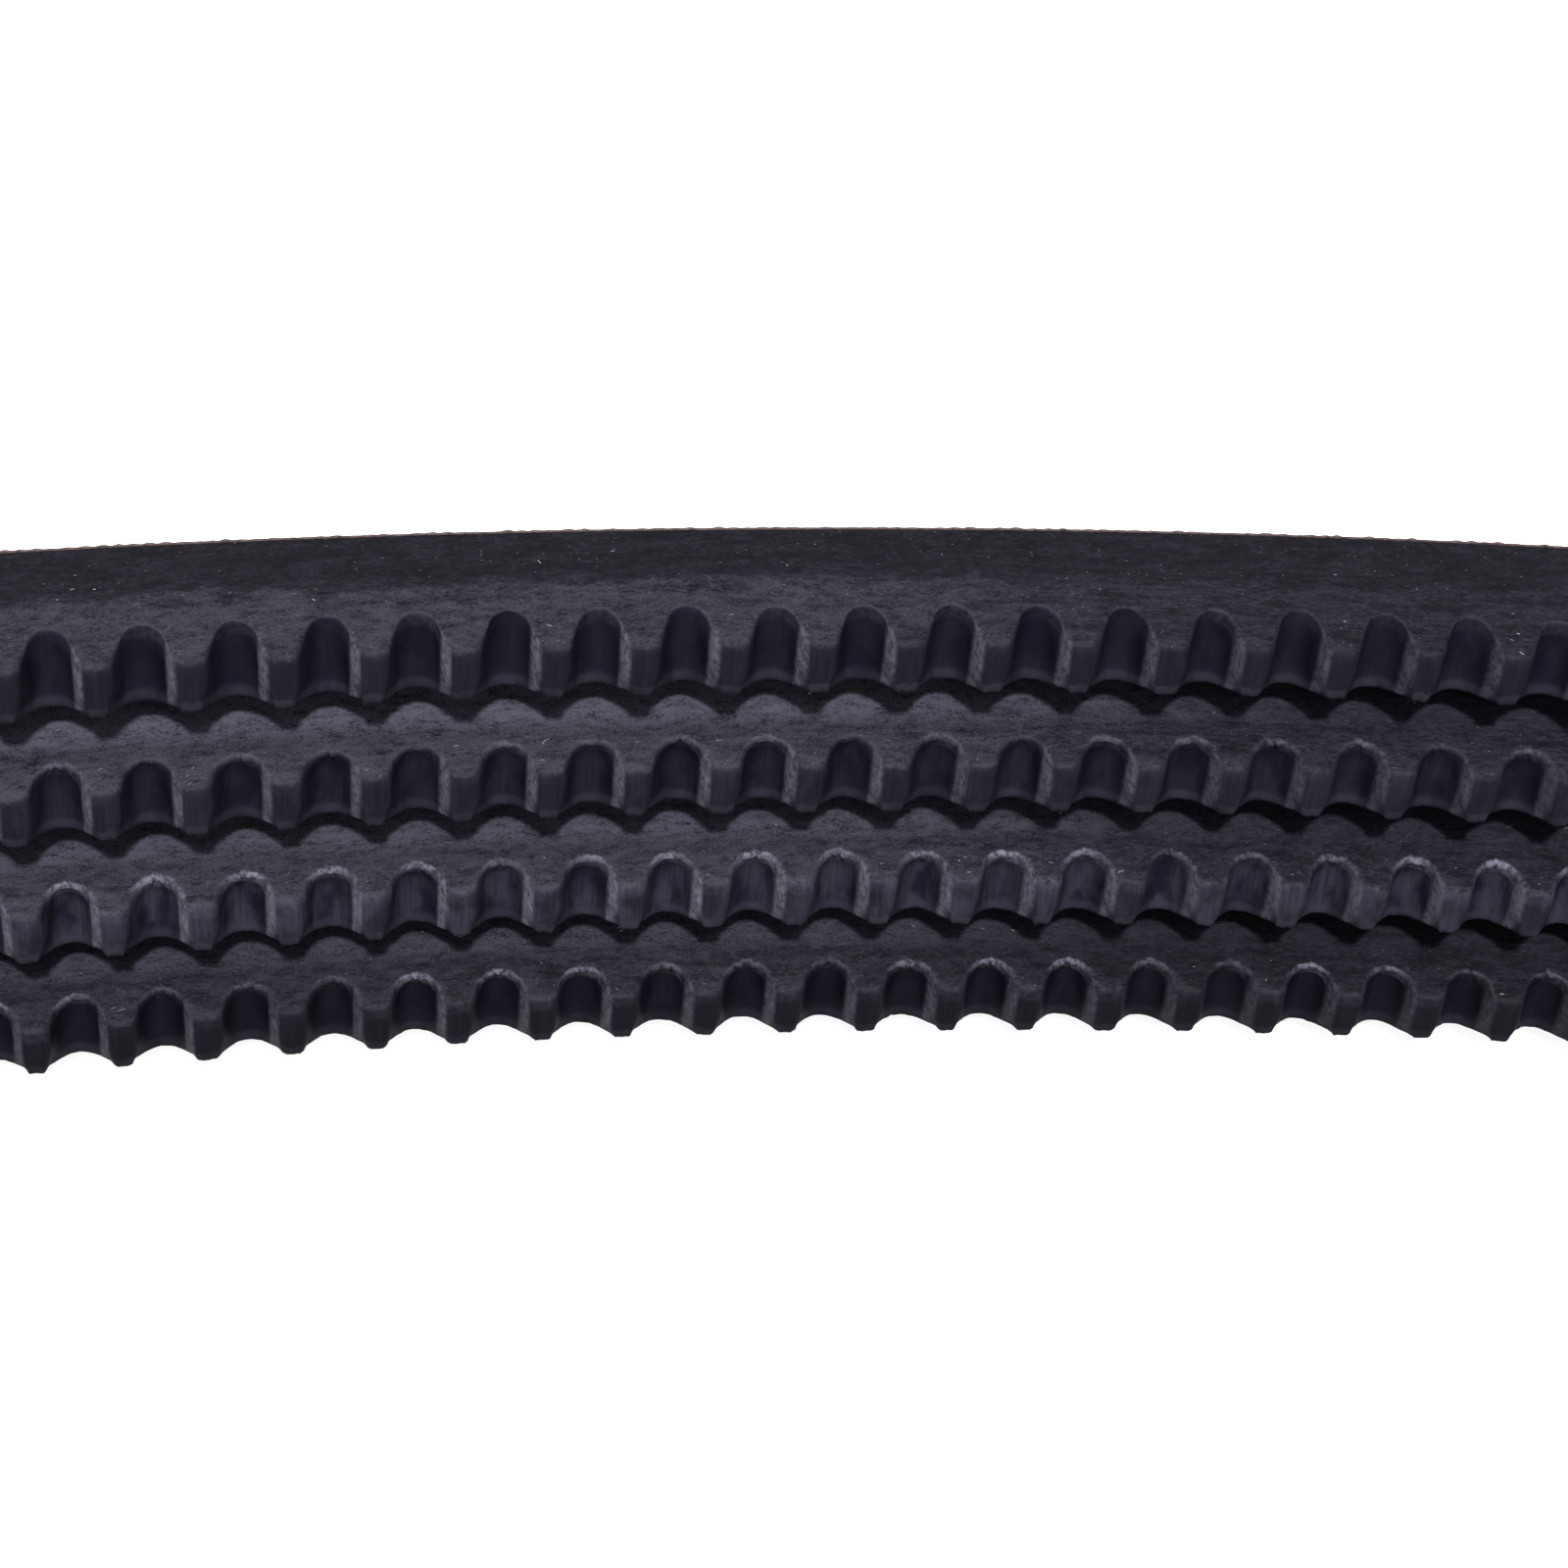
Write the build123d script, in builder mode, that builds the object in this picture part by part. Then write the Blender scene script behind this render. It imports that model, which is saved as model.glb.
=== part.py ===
from build123d import *
import os
from collections import namedtuple
from math import acos, atan2, cos, degrees, hypot, pi, radians, sin, sqrt, tan

# A banded cogged V-belt: four V ribs joined by a fabric tie band, closed into an oval loop.
# The belt stands on its side edge. Z runs across its width, X along the loop's longer axis.
# The origin is the middle of the loop, at the level of the edge that the belt stands on.

# Driving dimensions, in millimetres and degrees. A depth is measured inwards from the back.
rib_count = 4
rib_pitch = 17.5
rib_top_width = 16.3
flank_angle = 18.2

# The layers, from the back to the crowns of the cogs: the depth at which each one ends.
outer_ply_depth = 0.5
skim_depth = 0.9
inner_ply_depth = 1.4
tie_band_depth = 2.2
cord_depth = 4.4
cushion_depth = 5.9
belt_thickness = 16.2

# The tensile cords lie side by side, half in the gum above them and half in the cushion.
cord_diameter = 1.8
cord_spacing = 2.2
cords_per_rib = 6

# The loop has two long, nearly straight sides, and two round ends with shoulders beside them.
cog_pitch = 10.10
side_radius = 940.0
side_cogs = 37
shoulder_radius = 200.0
shoulder_cogs = 8
end_cogs = 16

# The notch between two cogs, as moulded, with the rounded corners of the cogs beside it.
notch_depth = 5.4
notch_floor_radius = 2.75
notch_mouth_width = 6.8
cog_corner_radius = 1.0
corner_land = 0.1
corner_lift = 0.04
cutter_overrun = 2.0

# One arc of the loop: its centre, the radius of the belt's back, and its angles in radians.
Arc = namedtuple("Arc", "centre_x centre_y radius start sweep cogs")


def sweep_of(cogs, radius):
    """The angle that some cogs take. Their pitch is true on the line of the cords."""
    return cogs * cog_pitch / (radius - cord_depth)


def loop_arcs():
    """The loop's arcs in turn, each tangent to the next, round the middle of the loop."""
    end_sweep = pi - sweep_of(side_cogs, side_radius) - 2 * sweep_of(shoulder_cogs, shoulder_radius)
    end = (end_cogs * cog_pitch / end_sweep + cord_depth, end_cogs)
    shoulder = (shoulder_radius, shoulder_cogs)
    side = (side_radius, side_cogs)
    turns = [end, shoulder, side, shoulder, end, shoulder, side, shoulder]

    found = []
    x = y = 0.0
    angle = -end_sweep / 2
    for (radius, cogs), (next_radius, _) in zip(turns, turns[1:] + turns[:1]):
        sweep = sweep_of(cogs, radius)
        found.append(Arc(x, y, radius, angle, sweep, cogs))
        angle += sweep
        x += (radius - next_radius) * cos(angle)
        y += (radius - next_radius) * sin(angle)
    middle_x = sum(arc.centre_x for arc in found) / len(found)
    middle_y = sum(arc.centre_y for arc in found) / len(found)
    return [a._replace(centre_x=a.centre_x - middle_x, centre_y=a.centre_y - middle_y) for a in found]


arcs = loop_arcs()


def half_width(depth):
    """Half of a rib's width between its two V flanks."""
    return rib_top_width / 2 - (depth - tie_band_depth) * tan(radians(flank_angle))


# The outer ply and the skim rubber are cut square. From there on the edges follow the flanks.
edge_half_width = half_width(skim_depth)
belt_width = (rib_count - 1) * rib_pitch + 2 * edge_half_width
top_rib_middle = belt_width - edge_half_width


def square_edges(depth):
    return 0, belt_width


def band_edges(depth):
    inset = edge_half_width - half_width(depth)
    return inset, belt_width - inset


def rib_edges(depth):
    return top_rib_middle - half_width(depth), top_rib_middle + half_width(depth)


def section_plane(arc):
    """The plane across the belt where an arc starts: its x is the radius, its y is up."""
    outwards = (cos(arc.start), sin(arc.start), 0)
    backwards = (sin(arc.start), -cos(arc.start), 0)
    return Plane(origin=(arc.centre_x, arc.centre_y, 0), x_dir=outwards, z_dir=backwards)


def arc_axis(arc):
    return Axis((arc.centre_x, arc.centre_y, 0), (0, 0, 1))


def layer_ring(top, bottom, edges, grooved=False):
    """A layer between two depths, all the way round. Grooves are the beds of the cords."""
    low_top, high_top = edges(top)
    low_bottom, high_bottom = edges(bottom)
    with BuildPart() as ring:
        for arc in arcs:
            with BuildSketch(section_plane(arc)):
                with BuildLine():
                    Polyline(
                        (arc.radius - top, low_top),
                        (arc.radius - top, high_top),
                        (arc.radius - bottom, high_bottom),
                        (arc.radius - bottom, low_bottom),
                        close=True,
                    )
                make_face()
                if grooved:
                    with Locations((arc.radius - cord_depth, top_rib_middle)):
                        with GridLocations(0, cord_spacing, 1, cords_per_rib):
                            Circle(cord_diameter / 2, mode=Mode.SUBTRACT)
            revolve(axis=arc_axis(arc), revolution_arc=degrees(arc.sweep))
    return ring.part


def cord_rings():
    """The turns of tensile cord in the top rib, each one a closed ring."""
    with BuildPart() as cords:
        for arc in arcs:
            with BuildSketch(section_plane(arc)):
                with Locations((arc.radius - cord_depth, top_rib_middle)):
                    with GridLocations(0, cord_spacing, 1, cords_per_rib):
                        Circle(cord_diameter / 2)
            revolve(axis=arc_axis(arc), revolution_arc=degrees(arc.sweep))
    return cords.part


def notch_profile(arc):
    """The notch between two cogs. Its mouth is at x = 0 and its floor lies outwards.

    The bend of an arc narrows the notches in proportion to their distance from the cords.
    """
    crown_radius = arc.radius - belt_thickness
    cord_radius = arc.radius - cord_depth
    floor_radius = notch_floor_radius * (crown_radius + notch_depth) / cord_radius
    mouth = notch_mouth_width / 2 * crown_radius / cord_radius
    floor_centre = notch_depth - floor_radius

    # The wall is the tangent from the mouth's corner to the round floor.
    wall_angle = acos(floor_radius / hypot(mouth, floor_centre)) - atan2(floor_centre, mouth)
    wall_end = (
        floor_centre + floor_radius * sin(wall_angle),
        floor_radius * cos(wall_angle),
    )

    # A cog's corner is rounded from its wall to a point just above the curved crown.
    rounded = mouth + cog_corner_radius * tan((pi / 2 - wall_angle) / 2)
    lift = crown_radius - sqrt(crown_radius**2 - rounded**2) + corner_lift
    corner = (-lift, mouth + lift * tan(wall_angle))
    side = rounded + corner_land

    with BuildSketch() as notch:
        with BuildLine():
            Polyline((-cutter_overrun, 0), (-cutter_overrun, side), (-lift, side), corner, wall_end)
            RadiusArc(wall_end, (notch_depth, 0), floor_radius)
            mirror(about=Plane.XZ)
        make_face()
        corners = notch.vertices().filter_by_position(Axis.Y, -side, side, (False, False))
        fillet(corners.filter_by_position(Axis.X, -lift, -lift), cog_corner_radius)
    return notch.sketch


def cogged_ring():
    """The compression body of the top rib, with its cogs left between the notches."""
    with BuildPart() as body:
        add(layer_ring(cushion_depth, belt_thickness, rib_edges))
        for arc in arcs:
            notch = notch_profile(arc)
            step = degrees(arc.sweep) / arc.cogs
            first = degrees(arc.start) + step / 2
            with BuildSketch(Plane.XY.offset(top_rib_middle - rib_top_width / 2)):
                with Locations((arc.centre_x, arc.centre_y)):
                    with PolarLocations(
                        arc.radius - belt_thickness, arc.cogs, first, step * arc.cogs
                    ):
                        add(notch)
            extrude(amount=rib_top_width, mode=Mode.SUBTRACT)
    return body.part


def write_piece(piece, name):
    piece.label = name
    export_step(piece, f"parts/{name}.step")


os.makedirs("parts", exist_ok=True)

# The tie band, from the back inwards: two cover plies with skim rubber between, then rubber.
write_piece(layer_ring(0, outer_ply_depth, square_edges), "outer_cover_ply")
write_piece(layer_ring(outer_ply_depth, skim_depth, square_edges), "ply_skim_rubber")
write_piece(layer_ring(skim_depth, inner_ply_depth, band_edges), "inner_cover_ply")
write_piece(layer_ring(inner_ply_depth, tie_band_depth, band_edges), "tie_band_rubber")

# The pieces of one rib, made at the top rib and repeated at each rib below it.
rib_pieces = {
    "overcord_gum": layer_ring(tie_band_depth, cord_depth, rib_edges, grooved=True),
    "tensile_cords": cord_rings(),
    "cushion_gum": layer_ring(cord_depth, cushion_depth, rib_edges, grooved=True),
    "cogged_body": cogged_ring(),
}
for rib in range(rib_count):
    for piece_name, top_piece in rib_pieces.items():
        with BuildPart() as rib_piece:
            with Locations((0, 0, -rib * rib_pitch)):
                add(top_piece)
        write_piece(rib_piece.part, f"rib_{rib + 1}_{piece_name}")
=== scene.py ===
"""A banded cogged V-belt that stands on its side edge, as an oval loop, on a pale floor.

A point of the belt has three belt coordinates. Along is the distance round the loop on the
line of the cords, from the middle of the +Y side. Depth is measured inwards from the back.
Height is measured across the belt, up from the edge that it stands on. Lengths are in metres.
"""

from collections import namedtuple
from math import acos, atan2, cos, hypot, pi, radians, sin, tan

import bpy
import numpy as np
from mathutils import Matrix, Vector


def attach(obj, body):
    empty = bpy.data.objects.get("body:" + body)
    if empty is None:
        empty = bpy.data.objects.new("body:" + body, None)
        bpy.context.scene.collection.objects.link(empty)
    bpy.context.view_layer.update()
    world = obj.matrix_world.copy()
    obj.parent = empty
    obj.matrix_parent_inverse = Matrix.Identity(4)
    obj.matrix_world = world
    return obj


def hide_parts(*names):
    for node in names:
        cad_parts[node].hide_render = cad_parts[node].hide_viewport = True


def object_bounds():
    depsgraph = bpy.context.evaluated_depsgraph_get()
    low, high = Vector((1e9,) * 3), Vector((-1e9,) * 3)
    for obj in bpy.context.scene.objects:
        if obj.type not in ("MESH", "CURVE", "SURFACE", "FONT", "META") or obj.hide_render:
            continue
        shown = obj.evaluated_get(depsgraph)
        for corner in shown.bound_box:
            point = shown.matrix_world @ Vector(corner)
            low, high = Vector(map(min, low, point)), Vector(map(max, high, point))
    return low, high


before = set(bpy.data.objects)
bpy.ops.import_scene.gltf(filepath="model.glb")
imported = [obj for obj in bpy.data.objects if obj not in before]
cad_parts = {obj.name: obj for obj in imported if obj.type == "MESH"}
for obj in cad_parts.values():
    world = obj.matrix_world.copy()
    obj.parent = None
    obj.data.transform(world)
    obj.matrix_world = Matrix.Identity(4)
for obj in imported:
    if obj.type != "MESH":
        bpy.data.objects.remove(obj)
cad_low, cad_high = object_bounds()

MM = 0.001

# The section of the belt.
RIB_COUNT = 4
RIB_PITCH = 17.5 * MM
RIB_TOP_WIDTH = 16.3 * MM
FLANK_SLOPE = tan(radians(18.2))
OUTER_PLY_DEPTH = 0.5 * MM
SKIM_DEPTH = 0.9 * MM
INNER_PLY_DEPTH = 1.4 * MM
TIE_BAND_DEPTH = 2.2 * MM
CORD_DEPTH = 4.4 * MM
CUSHION_DEPTH = 5.9 * MM
BELT_THICKNESS = 16.2 * MM

# The cogs, and the notches between them. The visible notches have slightly squarer floors than
# the CAD pieces, and the visible cogs have slightly rounder corners.
COG_PITCH = 10.10 * MM
NOTCH_DEPTH = 5.4 * MM
NOTCH_FLOOR_RADIUS = 2.3 * MM
NOTCH_MOUTH_WIDTH = 6.8 * MM
COG_CORNER_RADIUS = 1.3 * MM

# The loop: its long sides, the shoulders beside them and the round ends.
SIDE_RADIUS = 940 * MM
SIDE_COGS = 37
SHOULDER_RADIUS = 200 * MM
SHOULDER_COGS = 8
END_COGS = 16
COG_COUNT = 2 * (SIDE_COGS + 2 * SHOULDER_COGS + END_COGS)
LOOP_LENGTH = COG_COUNT * COG_PITCH

rng = np.random.default_rng(11)


# ---------------------------------------------------------------- the loop's shape

def loop_arcs():
    """Rows of centre x, centre y, back radius, first angle and first along, one for each arc."""
    def sweep_of(cogs, radius):
        return cogs * COG_PITCH / (radius - CORD_DEPTH)

    side_sweep = sweep_of(SIDE_COGS, SIDE_RADIUS)
    end_sweep = pi - side_sweep - 2 * sweep_of(SHOULDER_COGS, SHOULDER_RADIUS)
    end = (END_COGS * COG_PITCH / end_sweep + CORD_DEPTH, END_COGS)
    shoulder = (SHOULDER_RADIUS, SHOULDER_COGS)
    side = (SIDE_RADIUS, SIDE_COGS)
    turns = [end, shoulder, side, shoulder, end, shoulder, side, shoulder]

    rows = []
    x = y = 0.0
    angle = -end_sweep / 2
    along = -(END_COGS + SHOULDER_COGS + SIDE_COGS / 2) * COG_PITCH
    for (radius, cogs), (next_radius, _) in zip(turns, turns[1:] + turns[:1]):
        rows.append((x, y, radius, angle, along))
        angle += sweep_of(cogs, radius)
        along += cogs * COG_PITCH
        x += (radius - next_radius) * cos(angle)
        y += (radius - next_radius) * sin(angle)
    found = np.array(rows)
    found[:, :2] -= found[:, :2].mean(axis=0)
    return found


ARCS = loop_arcs()


def bend(along, depth, height):
    """The points of the part's frame for belt coordinates, which are arrays."""
    along, depth, height = np.broadcast_arrays(along, depth, height)
    first = ARCS[0, 4]
    along = (along - first) % LOOP_LENGTH + first
    arc = ARCS[np.searchsorted(ARCS[:, 4], along, side="right") - 1]
    angle = arc[..., 3] + (along - arc[..., 4]) / (arc[..., 2] - CORD_DEPTH)
    radial = arc[..., 2] - depth
    return np.stack(
        (arc[..., 0] + radial * np.cos(angle), arc[..., 1] + radial * np.sin(angle), height),
        axis=-1,
    )


def half_width(depth):
    """Half of a rib's width between its two V flanks."""
    return RIB_TOP_WIDTH / 2 - (depth - TIE_BAND_DEPTH) * FLANK_SLOPE


BELT_WIDTH = (RIB_COUNT - 1) * RIB_PITCH + 2 * half_width(SKIM_DEPTH)


def rib_middle(rib):
    """The height of a rib's middle. Rib 1 is the top one."""
    return BELT_WIDTH - half_width(SKIM_DEPTH) - (rib - 1) * RIB_PITCH


# ---------------------------------------------------------------- seeded unevenness

def smooth_noise(along, across, along_size, across_size, seed):
    """Smooth noise from -1 to 1 that closes on itself round the loop. The sizes are its grain."""
    columns = max(4, round(LOOP_LENGTH / along_size))
    rows = 64  # The noise repeats itself across the belt after this many grains.
    grid = np.random.default_rng(seed).uniform(-1, 1, (columns, rows))
    u = np.asarray(along) / LOOP_LENGTH * columns
    v = np.asarray(across) / across_size
    u, v = np.broadcast_arrays(u, v)
    column, row = np.floor(u).astype(int), np.floor(v).astype(int)
    fu, fv = u - column, v - row
    fu, fv = fu * fu * (3 - 2 * fu), fv * fv * (3 - 2 * fv)

    def corner(du, dv):
        return grid[(column + du) % columns, (row + dv) % rows]

    near = corner(0, 0) * (1 - fu) + corner(1, 0) * fu
    far = corner(0, 1) * (1 - fu) + corner(1, 1) * fu
    return near * (1 - fv) + far * fv


# ---------------------------------------------------------------- meshes

def new_mesh(name, points, faces):
    """An object from an array of points and an array of faces that have equally many corners."""
    mesh = bpy.data.meshes.new(name)
    sides = faces.shape[1]
    mesh.vertices.add(len(points))
    mesh.vertices.foreach_set("co", points.astype(np.float32).ravel())
    mesh.loops.add(faces.size)
    mesh.loops.foreach_set("vertex_index", faces.astype(np.int32).ravel())
    mesh.polygons.add(len(faces))
    mesh.polygons.foreach_set("loop_start", np.arange(0, faces.size, sides, dtype=np.int32))
    mesh.update(calc_edges=True)
    mesh.validate()
    piece = bpy.data.objects.new(name, mesh)
    bpy.context.scene.collection.objects.link(piece)
    return piece


def ring_piece(name, along, depth, height, zones=None):
    """A closed ring of the belt, from belt coordinates of shape (columns, rows).

    The rows go once round the section, and the columns once round the loop. Its faces carry
    their belt coordinates as the attribute "belt", and its points carry "zone".
    """
    columns, rows = along.shape
    points = bend(along, depth, height).reshape(-1, 3)
    column = np.arange(columns)[:, None]
    row = np.arange(rows)[None, :]
    next_row = (row + 1) % rows

    def index(c, r):
        return (c % columns) * rows + r

    corners = (
        (column, row),
        (column, next_row),
        (column + 1, next_row),
        (column + 1, row),
    )
    faces = np.stack([index(c, r) for c, r in corners], axis=-1).reshape(-1, 4)
    piece = new_mesh(name, points, faces)

    round_again = np.concatenate((along, along[:1] + LOOP_LENGTH))
    values = np.stack(
        (round_again, np.concatenate((depth, depth[:1])), np.concatenate((height, height[:1]))),
        axis=-1,
    )
    corner_values = np.stack([values[c, r] for c, r in corners], axis=2)
    belt = piece.data.attributes.new("belt", "FLOAT_VECTOR", "CORNER")
    belt.data.foreach_set("vector", corner_values.astype(np.float32).ravel())
    if zones is not None:
        zone = piece.data.attributes.new("zone", "FLOAT_VECTOR", "POINT")
        zone.data.foreach_set("vector", zones.astype(np.float32).ravel())
    return piece


def soften(piece, degrees_sharp=50):
    """Smooth shading, except across edges that are sharper than this."""
    piece.data.polygons.foreach_set("use_smooth", np.ones(len(piece.data.polygons), bool))
    piece.data.set_sharp_from_angle(angle=radians(degrees_sharp))
    return piece


# ---------------------------------------------------------------- the tie band

# The yarn ends stand out from the cut edges of the outer ply by up to the relief.
YARN_COUNT = 812
COLUMNS_PER_YARN = 5
YARN_RELIEF = 0.22 * MM


def skim_edges(depth):
    """The skim rubber stops short of the yarn ends beside it."""
    return YARN_RELIEF, BELT_WIDTH - YARN_RELIEF


def band_edges(depth):
    """From the inner ply on, the edges of the belt follow the flanks of its outermost ribs."""
    inset = half_width(SKIM_DEPTH) - half_width(depth)
    return inset, BELT_WIDTH - inset


def layer_piece(name, top, bottom, edges, columns_per_cog=8):
    """A plain layer of the belt between two depths."""
    low_top, high_top = edges(top)
    low_bottom, high_bottom = edges(bottom)
    section = np.array((
        (top, low_top),
        (top, high_top),
        (bottom, high_bottom),
        (bottom, low_bottom),
    ))
    columns = COG_COUNT * columns_per_cog
    along = np.arange(columns)[:, None] / columns * LOOP_LENGTH + 0 * section[:, 0]
    depth = section[:, 0] + 0 * along
    height = section[:, 1] + 0 * along
    return soften(ring_piece(name, along, depth, height))


def cover_ply_piece(name):
    """The outer ply. Its cut edges are toothed by the ends of its yarns."""
    columns = YARN_COUNT * COLUMNS_PER_YARN
    count = np.arange(columns)
    yarn = (count + COLUMNS_PER_YARN // 2) // COLUMNS_PER_YARN % YARN_COUNT
    round_end = 0.5 + 0.5 * np.cos(2 * pi * count / COLUMNS_PER_YARN)

    def tooth():
        size = rng.uniform(0.0, 1.0, YARN_COUNT)
        return (YARN_RELIEF * size[yarn] * round_end)[:, None]

    # Each edge is square, but for a bevel where it meets the back.
    low = YARN_RELIEF - tooth()
    high = BELT_WIDTH - YARN_RELIEF + tooth()
    back_rows = 11
    bevel_width = 0.25 * MM
    spread = np.linspace(0, 1, back_rows)
    back_height = (low + bevel_width) * (1 - spread) + (high - bevel_width) * spread
    back_depth = np.zeros((columns, back_rows))
    edge_depth = np.array((OUTER_PLY_DEPTH, 0.3 * MM, 0.08 * MM)) + 0 * low
    height = np.hstack((low + 0 * edge_depth, back_height, high + 0 * edge_depth))
    depth = np.hstack((edge_depth, back_depth, edge_depth[:, ::-1]))

    # The yarns wander a little along the belt.
    along = count[:, None] / columns * LOOP_LENGTH + 0 * depth
    along = along + 0.4 * MM * smooth_noise(along, height, 2.6 * MM, 9.0 * MM, 31)
    return soften(ring_piece(name, along, depth, height), degrees_sharp=60)


# ---------------------------------------------------------------- the cogged bodies

# How many steps each part of half a cog's outline has. The cogs near the middle of the +Y side,
# this many on each side of it, are seen from near and are made fine.
Fineness = namedtuple("Fineness", "floor wall corner crown")
FINE = Fineness(floor=9, wall=6, corner=6, crown=4)
COARSE = Fineness(floor=3, wall=2, corner=2, crown=1)
FINE_COGS = 11

# A notch is shifted as a whole, and the shift fades out towards the middles of the crowns beside
# it. The higher the power, the later it fades.
SHIFT_POWER = 8


def notch_half(mouth, depth, fineness):
    """Half a notch and half a cog, from the middle of the floor to the middle of the crown.

    Gives rows of distance along, height above the crown, and the normal into the air.
    """
    corner = COG_CORNER_RADIUS
    floor_radius = NOTCH_FLOOR_RADIUS * mouth / (NOTCH_MOUTH_WIDTH / 2)
    floor_middle = depth - floor_radius
    wall = acos(floor_radius / hypot(mouth, floor_middle)) - atan2(floor_middle, mouth)
    corner_middle = mouth + corner * (1 - sin(wall)) / cos(wall)

    turn = np.linspace(pi / 2, wall, fineness.floor, endpoint=False)
    floor = (floor_radius * np.cos(turn), floor_middle + floor_radius * np.sin(turn))
    floor += (-np.cos(turn), -np.sin(turn))

    step = np.linspace(0, 1, fineness.wall, endpoint=False)
    start = (floor_radius * cos(wall), floor_middle + floor_radius * sin(wall))
    end = (corner_middle - corner * cos(wall), corner - corner * sin(wall))
    side = tuple(a + (b - a) * step for a, b in zip(start, end))
    side += (-cos(wall) + 0 * step, -sin(wall) + 0 * step)

    turn = np.linspace(wall, pi / 2, fineness.corner, endpoint=False)
    rounded = (corner_middle - corner * np.cos(turn), corner - corner * np.sin(turn))
    rounded += (-np.cos(turn), -np.sin(turn))

    step = np.linspace(0, 1, fineness.crown + 1)
    crown = (corner_middle + (COG_PITCH / 2 - corner_middle) * step, 0 * step)
    crown += (0 * step, -1 + 0 * step)
    return np.hstack([np.array(part) for part in (floor, side, rounded, crown)])


def cog_columns(shifts, mouths, depths):
    """The notched outline round the whole loop: along, depth, their normal, and along at the top."""
    parts = []
    for cog in range(COG_COUNT):
        place = cog - COG_COUNT // 2
        fineness = FINE if abs(place) <= FINE_COGS else COARSE
        half = notch_half(mouths[cog], depths[cog], fineness)
        mirrored = half[:, :0:-1] * np.array((-1, 1, -1, 1))[:, None]
        cell = np.hstack((mirrored, half[:, :-1]))
        share = 1 - (np.abs(cell[0]) / (COG_PITCH / 2)) ** SHIFT_POWER
        cell[0] += shifts[cog] * share
        even = np.linspace(-0.5, 0.5, cell.shape[1], endpoint=False) * COG_PITCH
        middle = place * COG_PITCH
        parts.append(np.vstack((cell, even)) + np.array((middle, 0, 0, 0, middle))[:, None])
    along, above, normal_along, normal_above, top = np.hstack(parts)
    return along, BELT_THICKNESS - above, normal_along, -normal_above, top


# Where the rows lie round the section of a cogged body, as shares of the way down a flank, round
# a lip and across the moulded rubber from the upper lip to the lower one.
FLANK_STEPS = np.array((0, 0.3, 0.55, 0.76, 0.91))
LIP_STEPS = np.array((0, 0.35, 0.68, 1))
SURFACE_STEPS = np.array((0.035, 0.075, 0.125, 0.19, 0.27, 0.38, 0.50, 0.63, 0.76, 0.87, 0.945))
LOWER_FLARE_WIDTH = 3.0 * MM
UPPER_FLARE_WIDTH = 2.8 * MM

# For each row round the section: 1 on moulded rubber, and 1 or -1 on the upper or lower lip.
MOULDED_ROWS = np.concatenate((
    0 * FLANK_STEPS,
    LIP_STEPS,
    0 * SURFACE_STEPS + 1,
    LIP_STEPS[::-1],
    0 * FLANK_STEPS,
))
UPPER_LIP_ROWS = (0.3, 0.8, 1, 1, 1, 0.9, 0.75, 0.4)
LOWER_LIP_ROWS = (-0.35, -0.8, -1, -0.8, -0.5, -0.2)
ROWS_BETWEEN = len(LIP_STEPS) * 2 + len(SURFACE_STEPS) - len(UPPER_LIP_ROWS) - len(LOWER_LIP_ROWS)
LIP_ROWS = np.concatenate((
    0 * FLANK_STEPS,
    UPPER_LIP_ROWS,
    np.zeros(ROWS_BETWEEN),
    LOWER_LIP_ROWS,
    0 * FLANK_STEPS,
))


def uneven_size(columns, on_floor, on_cog, seed, floor_from=1.0 * MM, raggedness=0.14):
    """A size with one value on the cogs and one on the notch floors, a little uneven.

    It begins to change at a distance floor_from below the crowns, and changes over 2.5 mm.
    """
    along, depth = columns[0][:, None], columns[1][:, None]
    into_notch = np.clip((BELT_THICKNESS - depth - floor_from) / (2.5 * MM), 0, 1)
    ragged = 1 + raggedness * smooth_noise(along, 0.0, 0.6 * MM, MM, seed)
    slow = 1 + 0.14 * smooth_noise(along, 0.0, 9.0 * MM, MM, seed + 10)
    return (on_cog + (on_floor - on_cog) * into_notch) * ragged * slow


# Where the moulded rubber draws in, a crown sinks by less than the sides of its cog do.
INWARD_SINK = 0.3


def sunk(lift):
    """How far the moulded rubber moves in depth where it flares by some lift."""
    return np.maximum(lift, INWARD_SINK * lift)


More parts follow.
